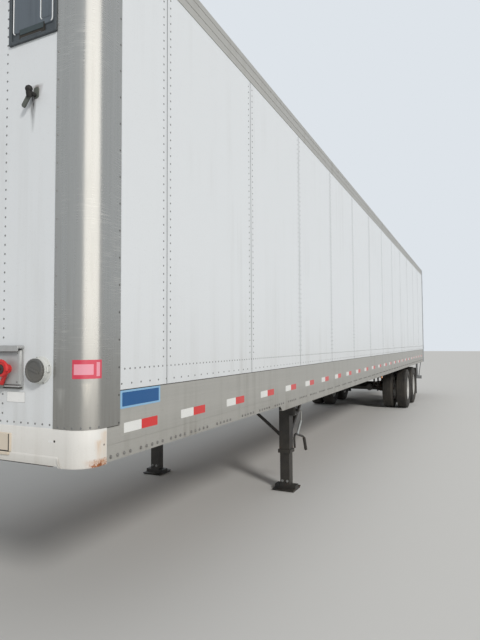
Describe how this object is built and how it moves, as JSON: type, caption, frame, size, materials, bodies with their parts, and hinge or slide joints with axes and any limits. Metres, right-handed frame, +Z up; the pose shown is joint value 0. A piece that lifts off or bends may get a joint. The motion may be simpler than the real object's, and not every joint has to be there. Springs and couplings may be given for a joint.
{
  "type": "semi trailer",
  "caption": "Box semi trailer with plate walls, rear swing doors, landing legs, a sliding tandem on twin wheels and a kingpin coupler.",
  "frame": {"origin": "on the ground, under the middle of the trailer's length and width", "axes": "+X forwards to the front wall, +Y to the road side (left), +Z up"},
  "size_m": [16.354, 2.591, 4.115],
  "materials": {
    "wall_plate": "white pre-painted skin, satin, dirty",
    "corner_metal": "plain aluminium, brushed and streaked",
    "rail_metal": "mill finish aluminium, dull",
    "front_rail_paint": "cream white paint, chipped and rusty at the corner",
    "roof_sheet": "plain white sheet",
    "bow_steel": "galvanised",
    "floor_wood": "laminated hardwood, worn",
    "underframe_paint": "black undercoat",
    "lamp_glass": "red and amber lamp lenses",
    "rear_frame_steel": "galvanised",
    "guard_steel": "galvanised",
    "bumper_rubber": "black rubber",
    "landing_paint": "black paint, dusty",
    "tank_paint": "black paint",
    "box_plastic": "grey plate",
    "tube_plastic": "grey plastic",
    "vent_metal": "plain aluminium",
    "hook_rubber": "black rubber",
    "door_plate": "white pre-painted skin, satin",
    "door_steel": "galvanised",
    "bogie_paint": "black paint, dusty",
    "spring_steel": "dark steel, rusty",
    "flap_rubber": "black rubber, dusty",
    "tyre": "black rubber, dusty",
    "wheel_paint": "white painted steel, dirty"
  },
  "bodies": {
    "trailer": {"side_wall_left": "wall_plate", "side_wall_right": "wall_plate", "front_wall": "wall_plate", "front_corners": "corner_metal", "top_rails": "rail_metal", "front_top_rail": "rail_metal", "bottom_rails": "rail_metal", "front_lower_rail": "front_rail_paint", "roof": "roof_sheet", "roof_bows": "bow_steel", "floor": "floor_wood", "crossmembers": "underframe_paint", "coupler": "underframe_paint", "rear_posts": "rear_frame_steel", "rear_header": "rear_frame_steel", "rear_sill": "rear_frame_steel", "hinge_lugs": "rear_frame_steel", "rod_keepers": "rear_frame_steel", "lamps": "lamp_glass", "underride_guard": "guard_steel", "dock_bumpers": "bumper_rubber", "landing_legs": "landing_paint", "landing_feet": "landing_paint", "landing_braces": "landing_paint", "landing_drive": "landing_paint", "body_rails": "underframe_paint", "air_tank": "tank_paint", "air_box": "box_plastic", "document_tube": "tube_plastic", "front_vent": "vent_metal", "front_hook": "hook_rubber"},
    "door_left": {"door_left": "door_plate", "door_gear_left": "door_steel"},
    "door_right": {"door_right": "door_plate", "door_gear_right": "door_steel"},
    "bogie": {"slider_frame": "bogie_paint", "leaf_springs": "spring_steel", "equalizers": "bogie_paint", "torque_arms": "bogie_paint", "axles": "bogie_paint", "brake_chambers": "bogie_paint", "flap_bars": "bogie_paint", "mud_flaps": "flap_rubber"},
    "wheels_front_left": {"tyres_front_left": "tyre", "wheels_front_left": "wheel_paint"},
    "wheels_front_right": {"tyres_front_right": "tyre", "wheels_front_right": "wheel_paint"},
    "wheels_rear_left": {"tyres_rear_left": "tyre", "wheels_rear_left": "wheel_paint"},
    "wheels_rear_right": {"tyres_rear_right": "tyre", "wheels_rear_right": "wheel_paint"}
  },
  "joints": [
    {"name": "tandem_slide", "type": "slide", "parent": "trailer", "child": "bogie", "axis": [1, 0, 0], "range_m": [-1.524, 1.372]},
    {"name": "wheel_spin_front_left", "type": "hinge", "parent": "bogie", "child": "wheels_front_left", "pos_m": [-4.023, 0.98, 0.505], "axis": [0, 1, 0], "continuous": true},
    {"name": "wheel_spin_front_right", "type": "hinge", "parent": "bogie", "child": "wheels_front_right", "pos_m": [-4.023, -0.98, 0.505], "axis": [0, 1, 0], "continuous": true},
    {"name": "wheel_spin_rear_left", "type": "hinge", "parent": "bogie", "child": "wheels_rear_left", "pos_m": [-5.268, 0.98, 0.505], "axis": [0, 1, 0], "continuous": true},
    {"name": "wheel_spin_rear_right", "type": "hinge", "parent": "bogie", "child": "wheels_rear_right", "pos_m": [-5.268, -0.98, 0.505], "axis": [0, 1, 0], "continuous": true},
    {"name": "door_swing_left", "type": "hinge", "parent": "trailer", "child": "door_left", "pos_m": [-8.107, 1.2855, 2.638], "axis": [0, 0, -1], "range_deg": [0, 265]},
    {"name": "door_swing_right", "type": "hinge", "parent": "trailer", "child": "door_right", "pos_m": [-8.107, -1.2855, 2.638], "axis": [0, 0, 1], "range_deg": [0, 265]}
  ]
}
